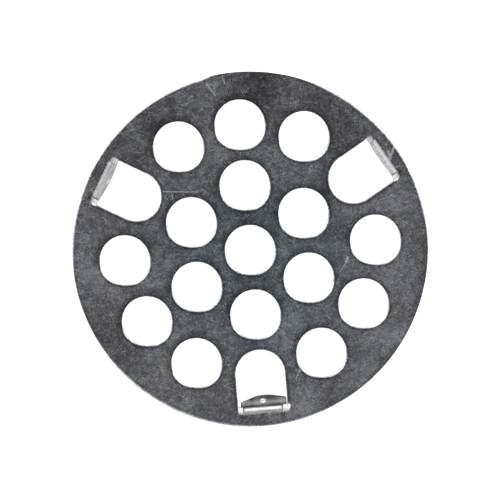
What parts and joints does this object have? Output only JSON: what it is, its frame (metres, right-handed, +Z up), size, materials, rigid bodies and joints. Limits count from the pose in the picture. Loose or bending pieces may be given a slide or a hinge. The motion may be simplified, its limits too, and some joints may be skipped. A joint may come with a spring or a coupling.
{
  "type": "floor drain grate",
  "caption": "Round snap-in drain strainer stamped from sheet steel: a flat perforated disc with detent prongs bent down from windows near its rim.",
  "frame": {"origin": "under the middle of the disc, level with the prong tips, so that the strainer stands on the ground plane", "axes": "+Z up, from the prong tips to the walked-on face; the front prong is at -Y and the other two are at 30 and 150 degrees from +X"},
  "size_m": [0.0476, 0.0476, 0.0088],
  "materials": {
    "steel_sheet": "dull stamped sheet with fine mottling, scratches and drawn-down edges"
  },
  "bodies": {
    "plate": {"strainer_plate": "steel_sheet"},
    "front_prong": {"prong_front": "steel_sheet"},
    "right_prong": {"prong_right": "steel_sheet"},
    "left_prong": {"prong_left": "steel_sheet"}
  },
  "joints": [
    {"name": "front_prong_flex", "type": "hinge", "parent": "plate", "child": "front_prong", "pos_m": [0, -0.02215, 0.0084], "axis": [1, 0, 0], "range_deg": [-3, 8], "stiffness_Nm_per_rad": 3},
    {"name": "right_prong_flex", "type": "hinge", "parent": "plate", "child": "right_prong", "pos_m": [0.01918, 0.01107, 0.0084], "axis": [-0.5, 0.866, 0], "range_deg": [-3, 8], "stiffness_Nm_per_rad": 3},
    {"name": "left_prong_flex", "type": "hinge", "parent": "plate", "child": "left_prong", "pos_m": [-0.01918, 0.01107, 0.0084], "axis": [-0.5, -0.866, 0], "range_deg": [-3, 8], "stiffness_Nm_per_rad": 3}
  ]
}
